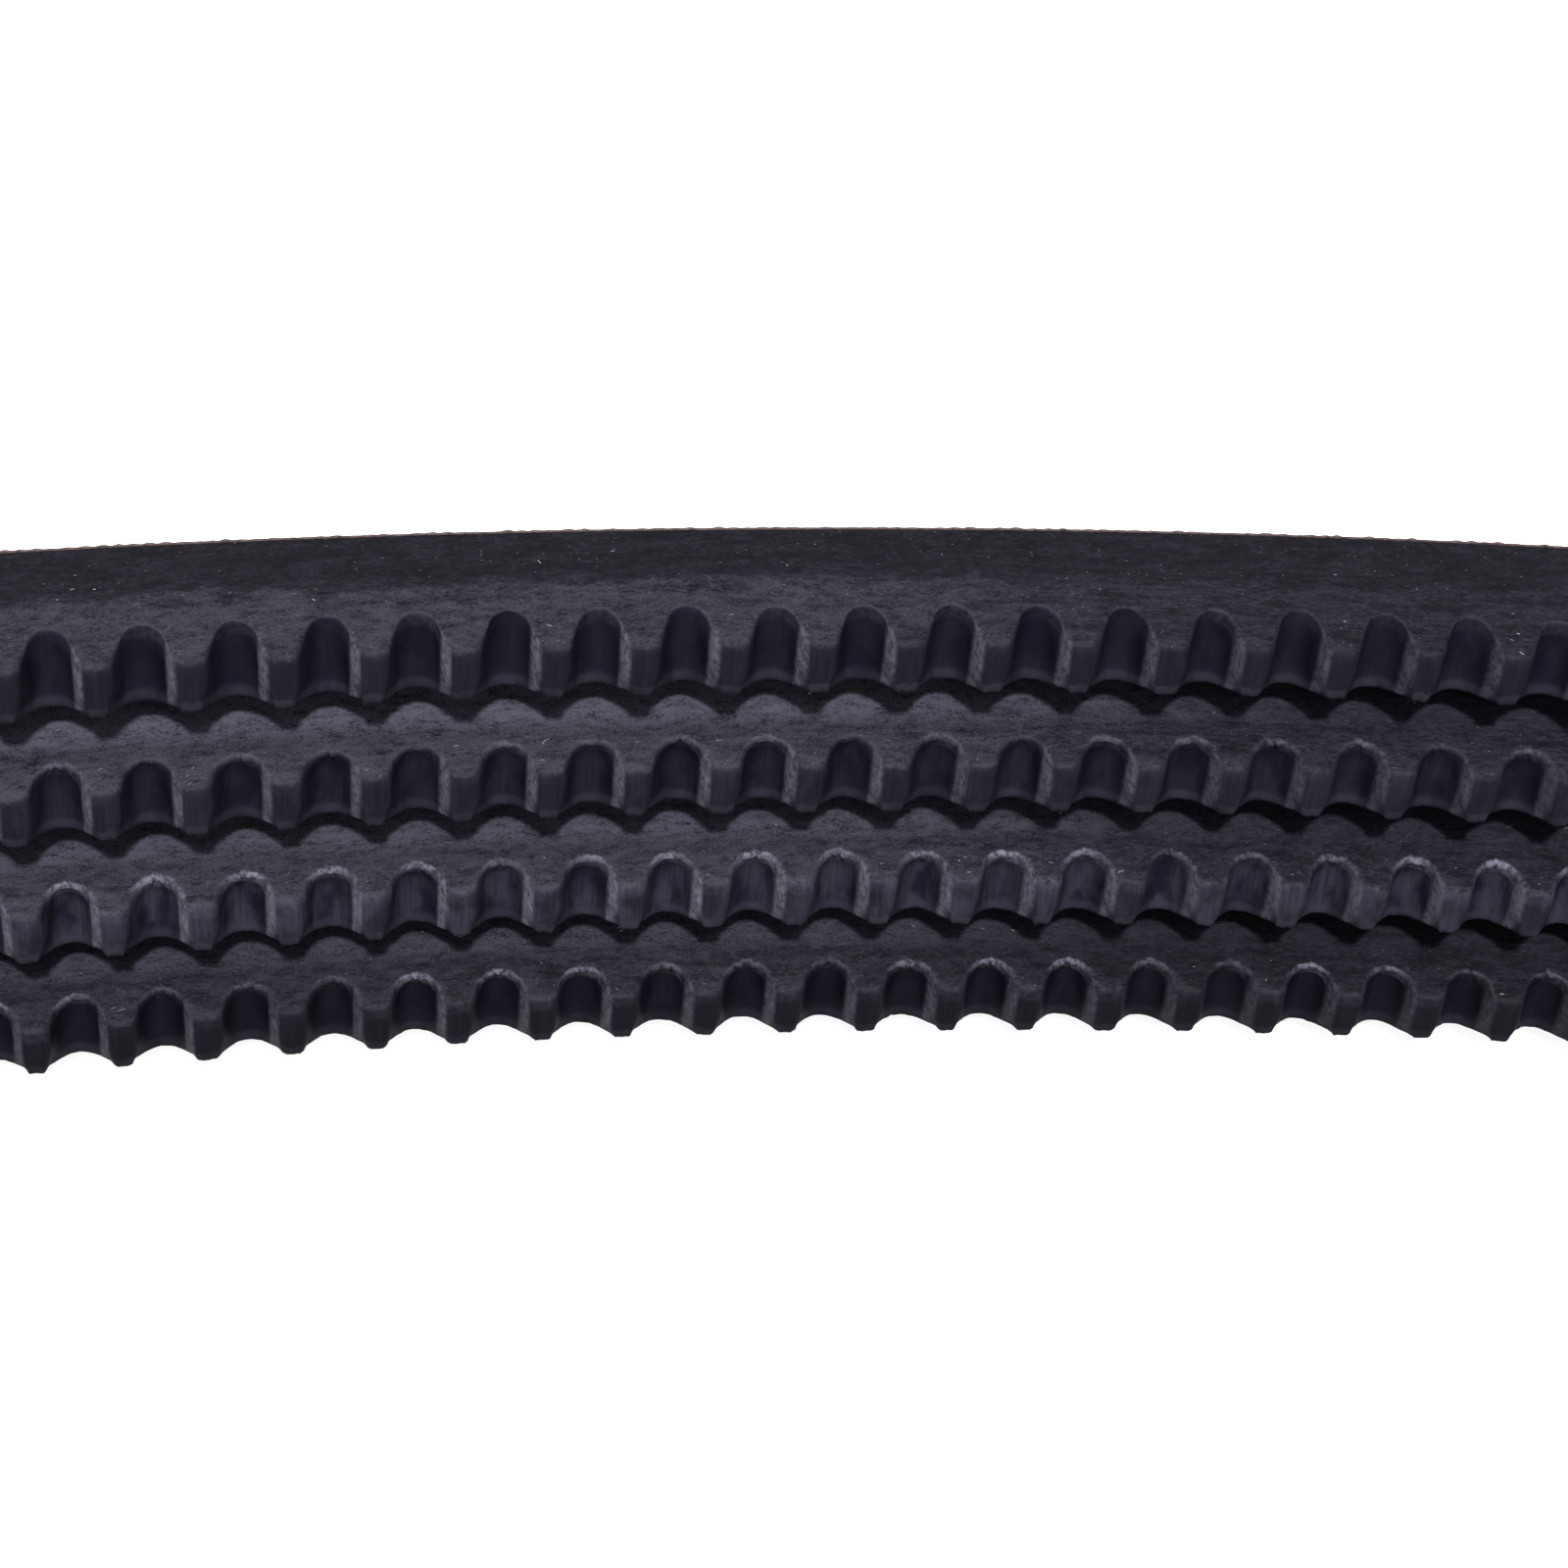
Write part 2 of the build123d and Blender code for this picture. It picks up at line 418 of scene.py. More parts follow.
def cogged_piece(name, rib, columns, upper_lip, lower_lip, upper_flare, lower_flare):
    """The compression body of a rib: ground flanks, rounded lips and the moulded cogs.

    The lips are the radii of the edges. Towards each edge the moulded rubber flares into the air
    where a flare is above 0, and draws in where it is below 0, which makes a cog narrower.
    """
    along, depth, normal_along, normal_depth, top = (values[:, None] for values in columns)
    middle = rib_middle(rib)

    def side(sign, lip, lift):
        edge_along = along + lift * normal_along
        edge_depth = depth + sunk(lift) * normal_depth
        inner_along = edge_along - lip * normal_along
        inner_depth = edge_depth - lip * normal_depth
        inner_height = half_width(inner_depth)
        outer_height = half_width(edge_depth)
        keep = (1 - LIP_STEPS) ** 2
        bend_to = 2 * LIP_STEPS * (1 - LIP_STEPS)
        leave = LIP_STEPS ** 2
        lip_along = inner_along * keep + edge_along * (bend_to + leave)
        lip_depth = inner_depth * keep + edge_depth * (bend_to + leave)
        lip_height = inner_height * keep + outer_height * bend_to + (outer_height - lip) * leave
        flank_along = top + (inner_along - top) * FLANK_STEPS
        flank_depth = CUSHION_DEPTH + (inner_depth - CUSHION_DEPTH) * FLANK_STEPS
        rows = (
            np.hstack((flank_along, lip_along)),
            np.hstack((flank_depth, lip_depth)),
            middle + sign * np.hstack((half_width(flank_depth), lip_height)),
        )
        return [r if sign > 0 else r[:, ::-1] for r in rows]

    upper = side(1, upper_lip, upper_flare)
    lower = side(-1, lower_lip, lower_flare)
    high, low = upper[2][:, -1:], lower[2][:, :1]
    height = high + (low - high) * SURFACE_STEPS
    uneven = 0.05 * MM * smooth_noise(along, height, 1.6 * MM, 2.2 * MM, 40 + rib)
    near_low = np.clip(1 - (height - low) / LOWER_FLARE_WIDTH, 0, 1) ** 2
    near_high = np.clip(1 - (high - height) / UPPER_FLARE_WIDTH, 0, 1) ** 2
    lift = near_low * lower_flare + near_high * upper_flare + uneven
    surface = (along + lift * normal_along, depth + sunk(lift) * normal_depth, height)

    points = [np.hstack(parts) for parts in zip(upper, surface, lower)]
    cavity = (BELT_THICKNESS - points[1]) / NOTCH_DEPTH
    zones = np.stack(np.broadcast_arrays(MOULDED_ROWS, LIP_ROWS, cavity), axis=-1)
    return soften(ring_piece(name, *points, zones=zones.reshape(-1, 3)))


# ---------------------------------------------------------------- fibres

# How many are scattered, before those over the notches are left out.
FIBRES_PER_RIB = 1500


def fibre_piece(name, rib, count):
    """Ends of the chopped fibres that stick out of a rib's two flanks, as short bent threads.

    They lie closest together near the crowns. None lie over a notch, where the flank has no
    rubber.
    """
    sides, rings = 4, 4
    along = rng.uniform(0, LOOP_LENGTH, count)
    near_crown = rng.random(count) < 0.6
    depth = np.where(near_crown, rng.normal(13.8, 1.2, count), rng.uniform(2.5, 15.6, count)) * MM
    depth = np.clip(depth, 2.4 * MM, 15.6 * MM)
    notch = np.abs((along / COG_PITCH + 0.5) % 1 - 0.5) * COG_PITCH
    on_cog = (depth < BELT_THICKNESS - NOTCH_DEPTH - 1.4 * MM) | (notch > 4.2 * MM)
    along, depth = along[on_cog], depth[on_cog]
    count = len(along)

    length = rng.lognormal(-1.2, 0.6, count).clip(0.12, 1.5) * MM
    thick = rng.uniform(0.018, 0.045, count) * MM
    lean = rng.normal(0, 0.35, count)
    rise = rng.uniform(0.01, 0.07, count) * MM
    sweep = rng.normal(0, 0.25, count)
    sign = np.where(rng.random(count) < 0.5, 1, -1)

    step = np.linspace(0, 1, rings)[None, :]
    heading = lean[:, None] + sweep[:, None] * step
    path_along = along[:, None] + length[:, None] * step * np.cos(heading)
    path_depth = depth[:, None] + length[:, None] * step * np.sin(heading)
    lift = rise[:, None] * np.sin(pi * (0.15 + 0.7 * step)) - 0.01 * MM
    path_height = rib_middle(rib) + sign[:, None] * (half_width(path_depth) + lift)
    path = bend(path_along, path_depth, path_height)

    tangent = np.gradient(path, axis=1)
    tangent /= np.linalg.norm(tangent, axis=2, keepdims=True)
    across = np.cross(tangent, (0.0, 0.0, 1.0))
    across /= np.linalg.norm(across, axis=2, keepdims=True)
    upward = np.cross(across, tangent)
    turn = np.arange(sides) / sides * 2 * pi
    ring = across[:, :, None] * np.cos(turn)[:, None] + upward[:, :, None] * np.sin(turn)[:, None]
    points = path[:, :, None] + ring * thick[:, None, None, None]

    first = np.arange(count)[:, None, None] * rings * sides
    ring_start = np.arange(rings - 1)[None, :, None] * sides
    side = np.arange(sides)[None, None, :]
    next_side = (side + 1) % sides
    low = first + ring_start
    high = low + sides
    walls = np.stack((low + side, low + next_side, high + next_side, high + side), axis=-1)
    start_cap = first[:, 0] + np.arange(sides)[::-1]
    end_cap = first[:, 0] + (rings - 1) * sides + np.arange(sides)
    faces = np.concatenate((walls.reshape(-1, 4), start_cap, end_cap))
    return soften(new_mesh(name, points.reshape(-1, 3), faces), degrees_sharp=70)


# ---------------------------------------------------------------- materials

class Shader:
    """A material in the making. Values are numbers, colours or the sockets of earlier nodes."""

    def __init__(self, name):
        self.material = bpy.data.materials.new(name)
        self.material.use_nodes = True
        self.tree = self.material.node_tree
        self.surface = self.tree.nodes["Principled BSDF"]

    def node(self, kind, inputs=(), **settings):
        """A new node. The inputs are the values of its sockets, by name or by number."""
        node = self.tree.nodes.new(kind)
        for key, value in settings.items():
            setattr(node, key, value)
        for socket, value in dict(inputs).items():
            self.feed(node.inputs[socket], value)
        return node

    def feed(self, socket, value):
        if isinstance(value, bpy.types.NodeSocket):
            self.tree.links.new(value, socket)
        else:
            socket.default_value = value

    def attribute(self, name):
        return self.node("ShaderNodeAttribute", attribute_name=name).outputs["Vector"]

    def parts(self, vector):
        return self.node("ShaderNodeSeparateXYZ", {0: vector}).outputs

    def math(self, operation, a, b=0.0):
        return self.node("ShaderNodeMath", {0: a, 1: b}, operation=operation).outputs[0]

    def product(self, *values):
        result = values[0]
        for value in values[1:]:
            result = self.math("MULTIPLY", result, value)
        return result

    def stretch(self, vector, scale):
        node = self.node("ShaderNodeVectorMath", {0: vector, 1: scale}, operation="MULTIPLY")
        return node.outputs[0]

    def noise(self, vector, scale=1.0, detail=2.0, roughness=0.5):
        inputs = {"Vector": vector, "Scale": scale, "Detail": detail, "Roughness": roughness}
        return self.node("ShaderNodeTexNoise", inputs).outputs["Fac"]

    def cells(self, vector):
        return self.node("ShaderNodeTexVoronoi", {"Vector": vector, "Scale": 1.0})

    def ramp(self, value, low, high, to_low=0.0, to_high=1.0):
        """A smooth step from to_low to to_high, as the value goes from low to high."""
        inputs = {
            "Value": value,
            "From Min": low,
            "From Max": high,
            "To Min": to_low,
            "To Max": to_high,
        }
        node = self.node("ShaderNodeMapRange", inputs, interpolation_type="SMOOTHSTEP")
        return node.outputs["Result"]

    def mix(self, factor, a, b):
        """A blend of two colours, from a where the factor is 0 to b where it is 1."""
        node = self.node("ShaderNodeMix", data_type="RGBA")
        self.feed(node.inputs["Factor"], factor)
        self.feed(node.inputs["A"], (*a, 1) if isinstance(a, tuple) else a)
        self.feed(node.inputs["B"], (*b, 1) if isinstance(b, tuple) else b)
        return node.outputs["Result"]

    def blend(self, factor, a, b):
        """A blend of two values. Inputs 0, 2 and 3 are the factor, A and B as plain values."""
        return self.node("ShaderNodeMix", {0: factor, 2: a, 3: b}, data_type="FLOAT").outputs[0]

    def bump(self, height, distance, strength=1.0):
        inputs = {"Height": height, "Distance": distance, "Strength": strength}
        return self.node("ShaderNodeBump", inputs).outputs["Normal"]

    def finish(self, colour, roughness, normal=None, **constants):
        """Feeds the surface. The constants are other inputs of it, with _ for each space."""
        self.feed(self.surface.inputs["Base Color"], colour)
        self.feed(self.surface.inputs["Roughness"], roughness)
        if normal is not None:
            self.feed(self.surface.inputs["Normal"], normal)
        for socket, value in constants.items():
            self.surface.inputs[socket.replace("_", " ")].default_value = value
        return self.material


TO_MILLIMETRES = (1000.0, 1000.0, 1000.0)

# Ground rubber and the dust on it, then moulded rubber: its notch floors painted darker as shade,
# and its hazy parts, paler, with a painted highlight along the lower lips. Bloom and highlight is
# the
# palest: pale dust with a painted highlight, on the lips and one wall of the notches. The groove
# painted light pales the dust deep in the grooves, where shade falls.
GROUND_DARK = (0.0046, 0.0037, 0.0056)
GROUND_MID = (0.0235, 0.0203, 0.0300)
DUST = (0.0405, 0.0368, 0.0480)
BLOOM_AND_HIGHLIGHT = (0.1950, 0.1830, 0.2300)
GROOVE_PAINTED_LIGHT = (0.1120, 0.1080, 0.1400)
DEEP_PAINTED_SHADE = (0.0098, 0.0088, 0.0185)
MOULDED = (0.0118, 0.0104, 0.0165)
MOULDED_HAZE_AND_HIGHLIGHT = (0.0400, 0.0362, 0.0520)
FIBRE_TAN = (0.26, 0.23, 0.19)

# The dust comes and goes round the loop, this many times. One of its peaks lies this far along,
# in millimetres.
DUSTY_STRETCHES = 3
DUSTIEST_ALONG = 110.0

# How worn a rib is, and how light or dark. Dust level: how much pale grinding dust is left on its
# flanks, from 0 to 1. Dust from: the depth in millimetres where the dust begins. Groove painted
# light: how much painted light pales the dust at the bottoms of the grooves beside it, where shade
# falls. Lip dust and highlight and haze: how pale the upper lips of its notches are, with dust and a
# painted highlight, and how pale their floors are. The shades make its flanks and its moulded rubber
# lighter or darker.
Finish = namedtuple(
    "Finish", "dust_level dust_from groove_dust rub_level haze flank_shade mould_shade"
)


def shaded(colour, shade):
    return tuple(shade * part for part in colour)


def raw_edge_rubber(name, rib, finish):
    """Cut and ground rubber with fine lengthwise streaks, and smooth rubber in the notches.

    One wall of each notch is painted pale, with dust and a painted highlight where the light from
    the side grazes it. The middles of the notch floors are painted darker as shade, the lips carry
    painted highlights, and deep in the grooves the dust is painted paler, as light.
    """
    shader = Shader(name)
    product = shader.product
    belt = shader.stretch(shader.attribute("belt"), TO_MILLIMETRES)
    zone = shader.parts(shader.attribute("zone"))
    moulded, lip, cavity = zone["X"], zone["Y"], zone["Z"]
    place = shader.parts(belt)
    along, depth, height = place["X"], place["Y"], place["Z"]

    # The patterns lie elsewhere on each rib.
    offset = (rib * 37.0, rib, 0)
    shifted = shader.node("ShaderNodeVectorMath", {0: belt, 1: offset}, operation="ADD").outputs[0]

    # Where the rubber changes, a wavering line at some depth.
    patches = shader.noise(shader.stretch(shifted, (0.20, 0.55, 0.55)), detail=4, roughness=0.65)
    wavering = shader.math("ADD", depth, product(patches, 3.0))
    below = shader.ramp(wavering, finish.dust_from + 0.6, finish.dust_from + 4.0)

    # Streaks along the flanks, left by the grinding.
    fine_streaks = shader.noise(shader.stretch(shifted, (0.90, 3.2, 3.2)), detail=3, roughness=0.65)
    broad_streaks = shader.noise(shader.stretch(shifted, (0.20, 0.8, 0.8)), detail=4, roughness=0.7)
    streaks = shader.math("ADD", product(fine_streaks, 0.45), product(broad_streaks, 0.55))
    speckle = shader.noise(shader.stretch(shifted, (1.6, 5.0, 5.0)), detail=3, roughness=0.75)
    tone = product(
        shader.ramp(streaks, 0.36, 0.66),
        shader.ramp(speckle, 0.36, 0.62, 0.30, 1.45),
        shader.ramp(below, 0.0, 1.0, 0.55, 1.0),
    )
    ground_dark = shaded(GROUND_DARK, finish.flank_shade)
    ground_mid = shaded(GROUND_MID, finish.flank_shade)
    flank = shader.mix(tone, ground_dark, ground_mid)

    # Dust, thick on some stretches of the loop. The less there is, the more pits show through.
    turn = 2 * pi * DUSTY_STRETCHES * MM / LOOP_LENGTH
    wave = shader.math("COSINE", product(shader.math("SUBTRACT", along, DUSTIEST_ALONG), turn))
    fine_pits = shader.noise(shader.stretch(shifted, (2.6, 4.2, 4.2)), detail=3, roughness=0.7)
    wide_pits = shader.noise(shader.stretch(shifted, (0.45, 1.2, 1.2)), detail=4, roughness=0.65)
    pits = shader.math("ADD", product(fine_pits, 0.55), product(wide_pits, 0.45))
    dustier = shader.ramp(wave, -0.9, 0.8)
    amount = product(
        shader.ramp(dustier, 0.0, 1.0, 0.10, 1.0),
        shader.ramp(patches, 0.30, 0.62, 0.35, 1.0),
        below,
        finish.dust_level,
    )
    covered = shader.math("ADD", pits, product(amount, 0.14))
    dust = product(shader.ramp(covered, 0.45, 0.72), shader.ramp(amount, 0.0, 0.5))
    flank = shader.mix(dust, flank, shaded(DUST, finish.flank_shade))

    # Near the bottoms of the grooves between ribs the dust is painted palest: painted light, which
    # makes up for the shade that falls in the grooves.
    if finish.groove_dust:
        groove_light = product(
            shader.ramp(depth, 11.2, 8.0),
            shader.ramp(pits, 0.31, 0.62),
            shader.ramp(dustier, 0.0, 1.0, 0.12, 0.90),
        )
        flank = shader.mix(groove_light, flank, shaded(GROOVE_PAINTED_LIGHT, finish.groove_dust))

    # The smooth rubber of the notches and crowns, with a haze here and there, brushed lines, and a
    # painted highlight along the lower lips, where they catch the light.
    clouds = shader.noise(shader.stretch(shifted, (0.35, 0.35, 0.20)), detail=3)
    brushed = shader.noise(shader.stretch(shifted, (2.6, 2.6, 0.14)), detail=2)
    haze = product(shader.ramp(clouds, 0.34, 0.60), shader.ramp(brushed, 0.25, 0.65, 0.4, 1.0))
    on_crown = product(shader.ramp(cavity, 0.15, 0.0), shader.ramp(brushed, 0.25, 0.75, 0.0, 0.30))
    lower_lip_highlight = product(shader.ramp(lip, -0.1, -0.8), shader.ramp(clouds, 0.3, 0.6, 0.4, 0.9))
    haze_and_highlight = shader.math("MAXIMUM", product(haze, finish.haze), on_crown)
    haze_and_highlight = shader.math("MAXIMUM", haze_and_highlight, lower_lip_highlight)
    moulded_wall = shaded(MOULDED, finish.mould_shade)
    moulded_floor_shade = shaded(DEEP_PAINTED_SHADE, finish.mould_shade)
    # Towards the middles of the notch floors the rubber is painted darker, as shade in the deep
    # recess.
    smooth = shader.mix(shader.ramp(cavity, 0.55, 0.97), moulded_wall, moulded_floor_shade)
    smooth = shader.mix(haze_and_highlight, smooth, shaded(MOULDED_HAZE_AND_HIGHLIGHT, finish.mould_shade))

    # One wall of each notch is pale with dust and a painted highlight, where the light from the side
    # grazes it. The fraction is 0 at the middle of the notch's floor.
    edge_noise = shader.noise(shader.stretch(shifted, (1.3, 1.3, 1.3)), detail=3, roughness=0.65)
    pitches = shader.math("ADD", product(along, MM / COG_PITCH), 0.5)
    fraction = shader.math("SUBTRACT", shader.math("FRACT", pitches), 0.5)
    rise = shader.math("SUBTRACT", height, rib_middle(rib) / MM)
    worn_side_and_highlight = product(
        shader.ramp(fraction, -0.23, -0.27),
        shader.ramp(fraction, -0.37, -0.30),
        shader.ramp(rise, 5.5, 1.0, 0.2, 1.0),
        shader.ramp(edge_noise, 0.34, 0.60, 0.35, 1.0),
        shader.ramp(dustier, 0.0, 1.0, 0.45, 1.0),
    )
    smooth = shader.mix(worn_side_and_highlight, smooth, shaded(BLOOM_AND_HIGHLIGHT, finish.mould_shade))

    # The moulded rubber meets the ground rubber in a broken line.
    broken = shader.math("ADD", moulded, product(shader.math("SUBTRACT", edge_noise, 0.5), 1.5))
    is_moulded = shader.ramp(broken, 0.2, 0.8)
    colour = shader.mix(is_moulded, flank, smooth)

    # The upper lips of the notches are painted pale, some more than others, most at each arch's top:
    # pale dust and a painted highlight, where the rounded lips catch the light from above.
    arch = shader.ramp(cavity, 0.45, 0.80, 0.10, 1.0)
    by_notch = shader.noise(shader.stretch(shifted, (0.09, 0.02, 0.02)), detail=1)
    rubbed_and_highlight = product(
        shader.ramp(lip, 0.30, 0.90),
        arch,
        shader.ramp(edge_noise, 0.34, 0.62, 0.10, 1.0),
        shader.ramp(by_notch, 0.34, 0.60, 0.25, 1.0),
    )
    colour = shader.mix(product(rubbed_and_highlight, finish.rub_level), colour, BLOOM_AND_HIGHLIGHT)

    # Pale flecks of the chopped fibres that were cut through.
    flecks = shader.cells(shader.stretch(shifted, (1.0, 2.5, 2.5)))
    small = shader.ramp(flecks.outputs["Distance"], 0.14, 0.06)
    rare = shader.ramp(shader.parts(flecks.outputs["Color"])["X"], 0.78, 0.82)
    fleck = product(small, rare, shader.ramp(is_moulded, 0.8, 0.2))
    colour = shader.mix(product(fleck, 0.55), colour, FIBRE_TAN)

    rough_flank = shader.ramp(dust, 0.0, 1.0, 0.60, 0.75)
    rough_smooth = shader.ramp(clouds, 0.3, 0.7, 0.44, 0.54)
    roughness = shader.blend(is_moulded, rough_flank, rough_smooth)

    grain = shader.noise(shader.stretch(shifted, (3.0, 6.0, 6.0)), detail=2)
    relief = shader.math("ADD", product(fine_streaks, 0.4), product(grain, 0.6))
    relief = shader.math("ADD", relief, product(shader.ramp(pits, 0.34, 0.56), 0.5))
    relief = product(relief, shader.ramp(is_moulded, 1.0, 0.0, 0.10, 1.0))
    normal = shader.bump(relief, 0.04 * MM, 0.8)
    return shader.finish(colour, roughness, normal, Specular_IOR_Level=0.11)


FABRIC_DARK = (0.0120, 0.0114, 0.0132)
FABRIC_PALE = (0.0270, 0.0257, 0.0290)
FABRIC_CREST = (0.052, 0.047, 0.046)
SCUFF_GREY = (0.088, 0.083, 0.084)
YARN_TAN = (0.150, 0.090, 0.080)


def cover_fabric(name):
    """Woven fabric rubbed full of rubber: a bias weave on the back and tan yarns at a cut edge."""
    shader = Shader(name)
    product = shader.product
    belt = shader.stretch(shader.attribute("belt"), TO_MILLIMETRES)
    parts = shader.parts(belt)
    along, depth, height = parts["X"], parts["Y"], parts["Z"]

    # Two sets of yarns cross on the bias. The slant is their run along for each unit of height.
    yarn = LOOP_LENGTH / MM / YARN_COUNT
    slant = 1.0
    rising = shader.math("ADD", along, product(height, slant))
    falling = shader.math("SUBTRACT", along, product(height, slant))

    def wave(value, turns_per_yarn):
        return shader.math("SINE", product(value, 2 * pi * turns_per_yarn / yarn))

    over = shader.ramp(product(wave(rising, 0.5), wave(falling, 0.5)), -0.2, 0.2)
    weave = shader.blend(over, wave(rising, 1), wave(falling, 1))

    clouds = shader.noise(shader.stretch(belt, (0.05, 0.2, 0.08)), detail=4, roughness=0.6)
    grain = shader.noise(shader.stretch(belt, (1.4, 1.4, 1.4)), detail=3, roughness=0.6)
    colour = shader.mix(shader.ramp(clouds, 0.35, 0.7), FABRIC_DARK, FABRIC_PALE)
    crest = product(shader.ramp(weave, 0.1, 0.95), shader.ramp(grain, 0.35, 0.65))
    colour = shader.mix(product(crest, 0.55), colour, FABRIC_CREST)

    # Scuffs along the back, where it ran over an idler, and grey dust caught between them.
    scuff_field = shader.noise(shader.stretch(belt, (0.016, 0.5, 0.42)), detail=5, roughness=0.62)
    scuffs = product(shader.ramp(scuff_field, 0.50, 0.68), shader.ramp(grain, 0.30, 0.62))
    colour = shader.mix(product(scuffs, 0.4), colour, SCUFF_GREY)

    # The cut ends of the yarns along both edges of the outer ply.
    from_low = height
    from_high = shader.math("SUBTRACT", BELT_WIDTH / MM, height)
    edge = shader.ramp(shader.math("MINIMUM", from_low, from_high), 0.34, 0.16)
    ends = shader.ramp(wave(shader.math("ADD", along, yarn / 4), 1), -0.1, 0.7)
    outer = shader.ramp(depth, 0.80, 0.60)
    tan_end = product(
        edge,
        outer,
        shader.ramp(ends, 0.0, 1.0, 0.45, 1.0),
        shader.ramp(grain, 0.25, 0.55),
        0.9,
    )
    colour = shader.mix(tan_end, colour, YARN_TAN)

    # The fabric dips a little over the gaps between the ribs.
    from_rib = shader.math("SUBTRACT", height, rib_middle(RIB_COUNT) / MM)
    gaps = shader.math("DIVIDE", from_rib, RIB_PITCH / MM)
    dip = shader.ramp(shader.math("COSINE", product(gaps, 2 * pi)), -1.0, -0.55, 1.0, 0.0)

    relief = shader.math("ADD", product(weave, 0.5), product(grain, 0.6))
    relief = shader.math("ADD", relief, product(dip, -2.5))
    normal = shader.bump(relief, 0.09 * MM, 0.8)
    roughness = shader.ramp(grain, 0.3, 0.7, 0.62, 0.8)
    return shader.finish(colour, roughness, normal, Specular_IOR_Level=0.18)


def polyester_cord(name):
    """Twisted polyester: pale yarns that wind round each cord."""
    shader = Shader(name)
    place = shader.node("ShaderNodeTexCoord").outputs["Object"]
    wave = {"Vector": place, "Scale": 900.0, "Distortion": 1.2}
    twist = shader.node("ShaderNodeTexWave", wave, bands_direction="DIAGONAL").outputs["Fac"]
    grain = shader.noise(place, scale=2500.0, detail=2)
    colour = shader.mix(twist, (0.30, 0.26, 0.20), (0.60, 0.55, 0.46))
    normal = shader.bump(shader.math("ADD", twist, grain), 0.08 * MM)
    return shader.finish(colour, shader.ramp(grain, 0.3, 0.7, 0.5, 0.65), normal)


def fibre_yarn(name):
    """The fibre ends: grey to tan, a little different from one to the next."""
    shader = Shader(name)
    place = shader.node("ShaderNodeTexCoord").outputs["Object"]
    shade = shader.noise(place, scale=260.0, detail=1)
    colour = shader.mix(shader.ramp(shade, 0.35, 0.65), (0.10, 0.088, 0.084), (0.44, 0.38, 0.34))
    return shader.finish(colour, shader.ramp(shade, 0.3, 0.7, 0.55, 0.7))


def floor_material(name):
    """A matt white studio floor."""
    shader = Shader(name)
    place = shader.node("ShaderNodeTexCoord").outputs["Object"]
    shade = shader.noise(place, scale=3.0, detail=2)
    return shader.finish(shader.mix(shade, (0.86, 0.86, 0.87), (0.88, 0.88, 0.88)), 0.9)


# ---------------------------------------------------------------- the belt

def dress(piece, material, slot, *nodes):
    """Gives a piece its material and its place on the belt's body, and hides the CAD nodes it stands
    for.
    """
    piece.data.materials.clear()
    piece.data.materials.append(material)
    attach(piece, "root")
    if nodes:
        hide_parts(*nodes)
    return piece


# From rib 1, at the top, to rib 4. Rib 4's low shades make it darker than the ribs above it.
FINISHES = (
    Finish(
        dust_level=0.80, dust_from=6.6, groove_dust=0.0,
        rub_level=0.10, haze=0.25, flank_shade=1.00, mould_shade=0.85,
    ),
    Finish(
        dust_level=0.95, dust_from=3.0, groove_dust=1.00,
        rub_level=0.34, haze=0.45, flank_shade=1.20, mould_shade=0.85,
    ),
    Finish(
        dust_level=0.85, dust_from=3.0, groove_dust=0.75,
        rub_level=1.00, haze=1.00, flank_shade=1.15, mould_shade=1.10,
    ),
    Finish(
        dust_level=0.55, dust_from=3.0, groove_dust=0.55,
        rub_level=0.75, haze=0.25, flank_shade=0.88, mould_shade=0.58,
    ),
)

# The layers of the tie band are like rib 1. Their patterns lie as for a fifth rib. The inner ply
# shows only as a thin cut edge, rubbed as dark as the rubber beside it.
TIE_BAND_PATTERN = 5
fabric = cover_fabric("cover_fabric")
gum = raw_edge_rubber("gum_rubber", TIE_BAND_PATTERN, FINISHES[0])
cover = cover_ply_piece("outer_cover_ply_woven")
dress(cover, fabric, "cover_fabric", "outer_cover_ply")
dress(
    layer_piece("ply_skim_rubber_ground", OUTER_PLY_DEPTH, SKIM_DEPTH, skim_edges),
    gum, "gum_rubber", "ply_skim_rubber",
)
dress(
    layer_piece("inner_cover_ply_woven", SKIM_DEPTH, INNER_PLY_DEPTH, band_edges),
    gum, "cover_fabric", "inner_cover_ply",
)
dress(
    layer_piece("tie_band_rubber_ground", INNER_PLY_DEPTH, TIE_BAND_DEPTH, band_edges),
    gum, "gum_rubber", "tie_band_rubber",
)

# The upper edges of each rib's notches: how round they are and how far they flare. Then how
# round the upper edges of the cogs are.
ARCH_LIPS = (0.35 * MM, 0.55 * MM, 0.60 * MM, 0.55 * MM)
ARCH_FLARES = (0.15 * MM, 1.35 * MM, 1.35 * MM, 1.30 * MM)
COG_LIP = 0.95 * MM

# The bars of the mould set each notch's place in all four ribs, give or take a little.
bar_shift = rng.normal(0, 0.06, COG_COUNT) * MM
cord_material = polyester_cord("polyester_cord")
fibre_material = fibre_yarn("fibre_ends")

